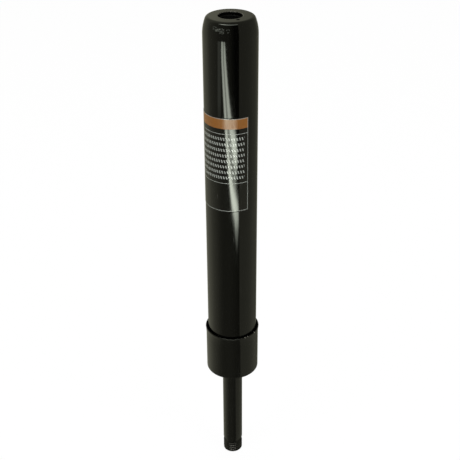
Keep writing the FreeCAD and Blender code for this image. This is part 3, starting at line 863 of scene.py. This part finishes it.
class SEATPOST_OT_label(SeatPostOperator, bpy.types.Operator):
    """Wrap the sheet label round the tube, with a UV map in millimetres for its print"""

    bl_idname = "seatpost.label"
    bl_label = "Label"

    def execute(self, context):
        size, tube = context.scene.seat_post_label, context.scene.seat_post_tube
        back = tube.radius + size.lift
        columns, rows = 200, 84
        edge_reach, edge_share = 0.35 * MM, 0.35
        made = bmesh.new()
        layer = made.loops.layers.uv.new("print")
        grids = []
        for side in (0, 1):
            grid = []
            for j in range(rows + 1):
                # Rows crowd towards the corners, whose rounding they follow
                v = size.height * (0.5 - 0.5 * math.cos(math.pi * j / rows))
                corner = max(size.corner - min(v, size.height - v), 0)
                inset = size.corner - math.sqrt(max(size.corner**2 - corner**2, 0))
                line = []
                for i in range(columns + 1):
                    u = inset + (size.width - 2 * inset) * i / columns
                    near = min(u - inset, size.width - inset - u, v, size.height - v)
                    full = math.sqrt(max(min(near / edge_reach, 1), 0))
                    out = back + side * size.sheet * (edge_share + (1 - edge_share) * full)
                    turn = size.right_edge - u / tube.radius
                    place = (out * math.cos(turn), out * math.sin(turn), size.base + v)
                    line.append((made.verts.new(place), u, v))
                grid.append(line)
            grids.append(grid)

        def add_face(*corners):
            face = made.faces.new([vertex for vertex, _, _ in corners])
            for loop, (_, u, v) in zip(face.loops, corners):
                loop[layer].uv = (u / MM, v / MM)

        for grid in grids:
            for j in range(rows):
                for i in range(columns):
                    add_face(grid[j][i], grid[j][i + 1], grid[j + 1][i + 1], grid[j + 1][i])
        back_grid, front_grid = grids
        for j in range(rows):
            for i in (0, columns):
                add_face(back_grid[j][i], back_grid[j + 1][i], front_grid[j + 1][i], front_grid[j][i])
        for i in range(columns):
            for j in (0, rows):
                add_face(back_grid[j][i], back_grid[j][i + 1], front_grid[j][i + 1], front_grid[j][i])
        piece = new_piece("label_sheet", made)
        dress(piece, "post", "label_film", "decal")
        return {"FINISHED"}


class SEATPOST_OT_collar(SeatPostOperator, bpy.types.Operator):
    """Draw the thin cup with its flared and rounded rim, fine groove and a few nicks"""

    bl_idname = "seatpost.collar"
    bl_label = "Collar cup"

    def execute(self, context):
        size = context.scene.seat_post_collar
        top, inside = size.height, size.inside
        outside, lip = inside + size.wall, size.wall / 2
        rise = size.flare_height - lip
        bow = (rise**2 + size.flare**2) / (2 * size.flare)
        flare_start, rim = top - size.flare_height, top - lip
        groove_level, half_groove = top - size.groove_drop, size.groove_width / 2

        def wall(radius, height):
            up = max(height - flare_start, 0)
            cut = size.groove_depth * max(0, 1 - ((height - groove_level) / half_groove) ** 2)
            return radius + bow - math.sqrt(bow**2 - up**2) - (cut if radius > inside else 0)

        corner, inner = 1 * MM, 0.6 * MM
        rows, inner_rows = 60, 14
        profile = [(size.pin_hole, 0)] + rows_between((size.pin_hole, 0), (outside - corner, 0), 3)
        profile += arc((outside - corner, corner), corner, -90, 0, 8)[1:]
        profile += rows_between(profile[-1], (outside, flare_start), 20)
        levels = [flare_start + rise * i / rows for i in range(1, rows + 1)]
        profile += [(wall(outside, level), level) for level in levels]
        profile += arc((wall(outside, rim) - lip, rim), lip, 0, 180, 12)[1:]
        levels = [rim - rise * i / inner_rows for i in range(1, inner_rows + 1)]
        profile += [(wall(inside, level), level) for level in levels]
        profile += [(inside, size.floor + inner)]
        profile += arc((inside - inner, size.floor + inner), inner, 0, -90, 4)[1:]
        profile += [(size.shaft_hole, size.floor), (size.shaft_hole, size.pin_hole - size.shaft_hole)]
        nicks = [(-69, 1.1, 0.08), (-60.8, 1.3, 0.12), (-54.3, 1.1, 0.12), (-43, 0.7, 0.06), (-33, 1.2, 0.16)]
        drop, half_height, nick_zone, inwards, downwards = 0.2, 0.7, 2 * MM, 0.7, 0.8
        nicks = [(at, drop, wide, half_height, deep) for at, wide, deep in nicks]

        def nicked(turn, radius, height):
            if height < top - nick_zone:
                return radius, height
            deep = dents(nicks, top, turn, height)
            return radius - deep * inwards, height - deep * downwards

        piece = spun("collar_shell", profile, size.segments * 2, nicked)
        full_nick, rim_band, rim_wear = 0.15 * MM, 0.25 * MM, 0.3

        def worn_and_glinting(co):
            nick = dents(nicks, top, math.atan2(co.y, co.x), co.z) / full_nick
            return max(min(nick, 1), rim_wear if co.z > top - rim_band else 0)

        set_wear_and_glint(piece, worn_and_glinting)
        dress(piece, "spindle", "collar_paint", "collar_cup")
        return {"FINISHED"}


class SEATPOST_OT_spindle(SeatPostOperator, bpy.types.Operator):
    """Turn the spindle and cut its thread"""

    bl_idname = "seatpost.spindle"
    bl_label = "Spindle and thread"

    def execute(self, context):
        size = context.scene.seat_post_pin
        tip, neck = -size.reach, size.thread_length - size.reach
        neck_top = neck + size.neck_length
        top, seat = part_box("spindle_pin")[1].z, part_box("spring_seat")[0].z
        clip_low, clip_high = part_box("retaining_clip")[0].z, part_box("spring_seat_clip")[0].z
        nose, edge, lead, slope, chamfer = 2.2 * MM, 1 * MM, 1.6 * MM, 0.9 * MM, 1 * MM

        def clip_groove(foot, bar, depth=0.9 * MM, width=1.5 * MM):
            return [(bar, foot), (bar - depth, foot), (bar - depth, foot + width), (bar, foot + width)]

        profile = [(0, tip), (size.thread_radius - nose, tip)]
        profile += arc((size.thread_radius - nose, tip + edge), edge, -90, -45, 4)[1:]
        profile += rows_between(profile[-1], (size.thread_radius, tip + lead), 16)
        profile += rows_between(profile[-1], (size.thread_radius, neck), 110)
        profile += rows_between(profile[-1], (size.neck_radius, neck + slope), 12)
        profile += rows_between(profile[-1], (size.neck_radius, neck_top - slope), 6)
        profile += rows_between(profile[-1], (size.radius - 0.25 * MM, neck_top - 0.1 * MM), 4)
        profile += arc((size.radius - 0.4 * MM, neck_top + 0.3 * MM), 0.4 * MM, -45, 0, 4)
        profile += rows_between(profile[-1], (size.radius, 0), 12)
        profile += [(size.shaft_radius, size.radius - size.shaft_radius)]
        profile += clip_groove(clip_low, size.shaft_radius)
        profile += [(size.shaft_radius, seat), (size.stub_radius, seat)]
        profile += clip_groove(clip_high, size.stub_radius)
        profile += [(size.stub_radius, top - chamfer), (size.stub_radius - chamfer, top), (0, top)]
        piece = spun("spindle_bar", profile, size.segments)
        values = {
            "Pitch": size.thread_pitch,
            "Crest Radius": size.thread_radius,
            "Depth": size.thread_depth,
            "Root Flat": size.root_flat,
            "Crest Flat": size.crest_flat,
            "Tip": tip,
            "First Root": 1.175 * MM,
            "End": neck + size.neck_length / 2,
            "Material": MATERIALS["pin_paint"],
        }
        run_tree(piece, thread_tree(), values)
        plain_mesh(piece, MATERIALS["pin_paint"])
        piece.data.shade_smooth()
        # The thread's own edges turn by less than the others
        piece.data.set_sharp_from_angle(angle=math.radians(28))
        crest, root = size.thread_radius, size.thread_radius - size.thread_depth
        # Pale bare metal on the thread's crests is partly real wear and partly a painted glint; the share
        # added on the front, towards -y, is a painted glint only
        crest_wear_and_glint, front_glint, shoulder_wear, shoulder_band = 0.34, 0.27, 0.3, 0.3 * MM

        def worn_and_glinting(co):
            out = math.hypot(co.x, co.y)
            if co.z < neck + 0.3 * MM:
                rubbed_and_glint = crest_wear_and_glint + front_glint * max(0, -co.y / out) ** 8 if out > root / 2 else 0
                return max(0, min((out - root) / (crest - root), 1)) ** 5 * rubbed_and_glint
            if co.z < neck_top + 0.8 * MM:
                return shoulder_wear if out > size.radius - shoulder_band else 0
            return 0

        set_wear_and_glint(piece, worn_and_glinting)
        dress(piece, "spindle", "pin_paint", "spindle_pin")
        return {"FINISHED"}


class SEATPOST_OT_spring(SeatPostOperator, bpy.types.Operator):
    """Wind the compression spring at its fitted length; on the real post it shortens as the post sinks"""

    bl_idname = "seatpost.spring"
    bl_label = "Spring"

    def execute(self, context):
        size = context.scene.seat_post_spring
        piece = new_piece("spring_coil", bmesh.new())
        values = {
            "Coil Radius": size.coil_radius,
            "Wire Radius": size.wire_radius,
            "Pitch": size.pitch,
            "Base": size.base,
            "Length": size.length,
            "Ground": size.ground,
            "Steps": 560,
            "Wire Sides": 20,
            "Material": MATERIALS["spring_steel"],
        }
        run_tree(piece, coil_tree(), values)
        plain_mesh(piece, MATERIALS["spring_steel"])
        dress(piece, "spindle", "spring_steel", "compression_spring")
        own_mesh(piece)
        return {"FINISHED"}


def soft_lamp(name, place, aim, size, power):
    """A square soft lamp that lights and isn't mirrored."""
    lamp = bpy.data.lights.new(name, "AREA")
    lamp.energy, lamp.size = power, size
    made = bpy.data.objects.new(name, lamp)
    bpy.context.scene.collection.objects.link(made)
    made.location = place
    made.rotation_euler = (Vector(aim) - Vector(place)).to_track_quat("-Z", "Y").to_euler()
    made.visible_glossy = False


def stage_mesh(name, points, faces, paint, **seen):
    """A piece of the studio, which is no part of the object."""
    mesh = bpy.data.meshes.new(name)
    mesh.from_pydata(points, [], faces)
    mesh.materials.append(paint)
    made = bpy.data.objects.new(name, mesh)
    bpy.context.scene.collection.objects.link(made)
    for key, value in seen.items():
        setattr(made, key, value)
    return made


HIDDEN_FROM = ("visible_camera", "visible_diffuse", "visible_shadow", "visible_transmission")
MIRRORED_ONLY = dict.fromkeys(HIDDEN_FROM, False)
WHITE = (1, 1, 1, 1)


def looked_at(build):
    """1 for what the camera sees, also mirrored or through glass, and 0 for the light that is given."""
    path = build.node("ShaderNodeLightPath").outputs
    return build.most(path["Is Camera Ray"], path["Is Glossy Ray"], path["Is Transmission Ray"])


def glowing(name, tint, level_of, clear=False):
    """A card's own light, of a strength that level_of builds; a clear one adds to what lies behind it."""
    made, build = material(name)
    light = build.out("ShaderNodeEmission", {"Color": tint, "Strength": level_of(build)})
    if clear:
        through = build.out("ShaderNodeBsdfTransparent")
        light = build.out("ShaderNodeAddShader", {0: light, 1: through})
    build.node("ShaderNodeOutputMaterial", {0: light})
    return made


# Brightness of the grey cards by direction, in degrees from the front towards the right
NEAR = [
    (-180, 0.42), (-150, 0.32), (-105, 0.45), (-68, 0.31), (-52, 0.2), (-38, 0.15),
    (-10, 0.15), (33.5, 0.07), (34.5, 0.31), (109, 0.27), (138, 0.13), (180, 0.4),
]
FAR = [
    (-180, 0.32), (-177.5, 0.42), (-140, 0.33), (-112, 0.44), (-93, 0.29), (-61, 0.22), (-40, 0.15),
    (-10, 0.12), (16, 0), (33.5, 0), (34.5, 0.24), (101, 0.25), (124, 0.19), (177.5, 0.24), (180, 0.32),
]
# Between these distances, in metres, the near brightness gives way to the far one
NEAR_END, FAR_START = 0.45, 0.85


def by_direction(build):
    """The grey cards' brightness."""
    x, y, _ = build.parts(build.own_place())
    turn = build.math("ARCTAN2", x, build.times(y, -1.0))
    levels = []
    for stops in (NEAR, FAR):
        ramp = build.node("ShaderNodeValToRGB", {0: build.ramp(turn, -math.pi, math.pi)})
        made = ramp.color_ramp.elements
        while len(made) > 1:
            made.remove(made[-1])
        for k, (degrees, bright) in enumerate(stops):
            place = (degrees + 180) / 360
            stop = made[0] if k == 0 else made.new(place)
            stop.position = place
            stop.color = (bright, bright, bright, 1)
        levels.append(ramp.outputs[0])
    return build.blend(build.ramp(build.off_axis(x, y), NEAR_END, FAR_START), *levels)


def along_beam(build):
    """A strip light's brightness: v of its UV map, soft towards both sides."""
    u, v, _ = build.parts(build.out("ShaderNodeUVMap", uv_map="beam"))
    return build.times(build.ramp(u, 0.0, 0.2), build.ramp(u, 0.8, 1.0, 1.0, 0.0), v)


def strip_light(name, rows, paint):
    """A slim light laid out in rows, each (left point, right point, brightness), in millimetres."""
    points = [(x * MM, y * MM, z * MM) for row in rows for x, y, z in row[:2]]
    faces = [(2 * i, 2 * i + 1, 2 * i + 3, 2 * i + 2) for i in range(len(rows) - 1)]
    made = stage_mesh(name, points, faces, paint, **MIRRORED_ONLY)
    beam = made.data.uv_layers.new(name="beam")
    for loop in made.data.loops:
        beam.data[loop.index].uv = (loop.vertex_index % 2, rows[loop.vertex_index // 2][2])


# The strip lights on the floor, in rows from far to near: left end, right end, brightness
EDGE_LEFT = [
    (-930, -1200, -735, -1330, 3.4),
    (-780, -970, -630, -1070, 3.5),
    (-500, -830, -335, -910, 4.7),
    (-120, -650, 25, -665, 9.8),
    (-60, -610, 160, -600, 8.8),
    (15, -565, 300, -510, 8.3),
    (110, -515, 310, -465, 6.8),
    (115, -480, 280, -430, 2.3),
    (155, -405, 195, -385, 0),
]
EDGE_RIGHT = [
    (-650, -1250, -545, -1310, 0.4),
    (-610, -1175, -465, -1240, 3.6),
    (-575, -1100, -390, -1180, 3.8),
    (-215, -885, 55, -910, 5.4),
    (-100, -850, 270, -815, 7.5),
    (-20, -805, 350, -725, 8.8),
    (80, -750, 360, -660, 8.8),
    (180, -670, 325, -615, 2.2),
    (250, -625, 290, -605, 0),
]
MIDDLE = [
    (-900, -1150, -560, -1330, 1),
    (-835, -1050, -465, -1240, 3.2),
    (-780, -970, -390, -1180, 3.2),
    (-625, -900, -210, -1080, 3.1),
    (-360, -775, 270, -815, 2.6),
    (-235, -715, 350, -665, 2.4),
    (-135, -650, 250, -590, 2.8),
    (-50, -580, 255, -520, 3.2),
    (40, -530, 305, -465, 1.8),
    (75, -490, 275, -430, 0.8),
    (125, -435, 220, -400, 0),
]
SIDE = [
    (-1180, -890, -960, -1140, 0.5),
    (-845, -530, -630, -775, 0.4),
    (-705, -475, -575, -630, 0),
]
FLOOR_STRIPS = {"edge_left": EDGE_LEFT, "edge_right": EDGE_RIGHT, "middle": MIDDLE, "side": SIDE}
# The lights that stand round it: distance, first and last direction, lower and upper level,
# and the brightness at both ends
STANDING = {
    "lamp_high_left": (1400, -62, -42, 1250, 2060, 1, 7.5),
    "lamp_high_right": (1400, -42, 38, 1250, 2060, 7.5, 2),
    "lamp_side": (2100, -78, -29, 545, 635, 1.0, 3.8),
    "lamp_front": (2100, -15, -4, 690, 770, 2.4, 2.4),
}


class SEATPOST_OT_stage(SeatPostOperator, bpy.types.Operator):
    """Set up the camera, the floor, the soft lamps and the cards that the gloss mirrors"""

    bl_idname = "seatpost.stage"
    bl_label = "Camera and studio"

    def execute(self, context):
        look = context.scene.seat_post_stage
        self.camera(context, look)
        self.room(context, look)
        self.cards(look)
        power = look.lamp_power
        for side in (-1, 1):
            soft_lamp(f"lamp_{side}", (side * 1.1, -1.0, 1.5), aim=(0, 0, 0.15), size=1.0, power=power)
        soft_lamp("lamp_top", (0, 0.5, 1.9), aim=(0, 0, 0.2), size=1.2, power=power)
        context.scene.view_settings.view_transform = "Standard"
        return {"FINISHED"}

    def camera(self, context, look):
        """The camera at the photograph's place and angle."""
        tilt, yaw, roll = look.tilt, look.yaw, look.roll
        ahead = Vector((math.sin(yaw) * math.cos(tilt), math.cos(yaw) * math.cos(tilt), -math.sin(tilt)))
        level_right = Vector((math.cos(yaw), -math.sin(yaw), 0))
        level_up = level_right.cross(ahead)
        right = level_right * math.cos(roll) + level_up * math.sin(roll)
        up = level_up * math.cos(roll) - level_right * math.sin(roll)
        data = bpy.data.cameras.new("camera")
        data.lens, data.sensor_width, data.clip_start = look.lens, 36, 0.01
        made = bpy.data.objects.new("camera", data)
        context.scene.collection.objects.link(made)
        axes = Matrix((right, up, -ahead)).transposed().to_4x4()
        made.matrix_world = Matrix.Translation(look.camera) @ axes
        context.scene.camera = made

    def room(self, context, look):
        """The even light of the room and the pale floor."""
        world = bpy.data.worlds.new("studio")
        context.scene.world = world
        world.use_nodes = True
        world.node_tree.nodes.clear()
        build = Tree(world.node_tree)
        strength = build.blend(looked_at(build), look.ambient, 1.0)
        back = build.out("ShaderNodeBackground", {"Color": WHITE, "Strength": strength})
        build.node("ShaderNodeOutputWorld", {0: back})
        paint, build = material("floor_white")
        # The floor's own white, which leaves a little for the object's shadow
        share = build.times(looked_at(build), 0.96)
        dull = build.out("ShaderNodeBsdfDiffuse", {"Color": (0.9, 0.9, 0.9, 1)})
        bright = build.out("ShaderNodeEmission", {"Color": WHITE, "Strength": 1.0})
        both = build.out("ShaderNodeMixShader", {0: share, 1: dull, 2: bright})
        # From below the floor is clear, so that the underside can be seen
        under = build.node("ShaderNodeNewGeometry").outputs["Backfacing"]
        clear = build.out("ShaderNodeBsdfTransparent")
        both = build.out("ShaderNodeMixShader", {0: under, 1: both, 2: clear})
        build.node("ShaderNodeOutputMaterial", {0: both})
        count, reach = 96, 6.0
        rim = [(reach * math.cos(turn), reach * math.sin(turn), look.floor) for turn in all_round(count)]
        stage_mesh("floor", rim, [list(range(count))], paint)

    def cards(self, look):
        """Grey cards all round and the strip lights, seen only by gloss."""
        base, ring = look.floor + 0.3 * MM, 120
        middle, wall, top = 0.01, 2.2, 2.1
        outline = [(out, base) for out in (middle, NEAR_END, FAR_START, wall)]
        outline += [(out, top) for out in (wall, FAR_START, middle)]
        turns = all_round(ring)
        points = [(out * math.sin(t), -out * math.cos(t), height) for out, height in outline for t in turns]
        faces = []
        for k in range(len(outline) - 1):
            for i in range(ring):
                j = (i + 1) % ring
                faces.append((k * ring + i, k * ring + j, (k + 1) * ring + j, (k + 1) * ring + i))
        card_tint, strip_tint = (1.0, 1.0, 0.76, 1), (0.93, 1.0, 0.85, 1)
        stage_mesh("cards", points, faces, glowing("card_grey", card_tint, by_direction), **MIRRORED_ONLY)
        beam = glowing("strip_glow", strip_tint, along_beam, clear=True)
        # Each strip on the floor lies a little above the one before it
        lift, step = 1, 0.4
        for k, (name, rows) in enumerate(FLOOR_STRIPS.items()):
            rise = base / MM + lift + step * k
            rows = [((a, b, rise), (c, d, rise), bright) for a, b, c, d, bright in rows]
            strip_light(name, rows, beam)
        steps = 8
        for name, (out, first, last, low, high, start, end) in STANDING.items():
            rows = []
            for i in range(steps + 1):
                turn = math.radians(first + (last - first) * i / steps)
                x, y = out * math.sin(turn), -out * math.cos(turn)
                rows.append(((x, y, low), (x, y, high), start + (end - start) * i / steps))
            strip_light(name, rows, beam)


OPERATORS = (
    SEATPOST_OT_finishes,
    SEATPOST_OT_tube,
    SEATPOST_OT_label,
    SEATPOST_OT_collar,
    SEATPOST_OT_spindle,
    SEATPOST_OT_spring,
    SEATPOST_OT_stage,
)


class SEATPOST_PT_panel(bpy.types.Panel):
    """The steps that build the seat post"""

    bl_idname = "SEATPOST_PT_panel"
    bl_label = "Seat Post"
    bl_space_type = "VIEW_3D"
    bl_region_type = "UI"
    bl_category = "Seat Post"

    def draw(self, context):
        for operator in OPERATORS:
            self.layout.operator(operator.bl_idname)
        for name in GROUPS:
            box = self.layout.box()
            group = getattr(context.scene, name)
            box.label(text=name.replace("_", " ").capitalize())
            for key in group.bl_rna.properties.keys():
                if key not in ("rna_type", "name"):
                    box.prop(group, key)


CLASSES = (*GROUPS.values(), *OPERATORS, SEATPOST_PT_panel)


def register():
    for cls in CLASSES:
        bpy.utils.register_class(cls)
    for name, group in GROUPS.items():
        setattr(bpy.types.Scene, name, PointerProperty(type=group))


def unregister():
    for name in GROUPS:
        delattr(bpy.types.Scene, name)
    for cls in reversed(CLASSES):
        bpy.utils.unregister_class(cls)


def main():
    """Builds everything."""
    register()
    for operator in OPERATORS:
        group, name = operator.bl_idname.split(".")
        if getattr(getattr(bpy.ops, group), name)() != {"FINISHED"}:
            raise RuntimeError(f"{operator.bl_label} did not finish")


if __name__ == "__main__":
    main()
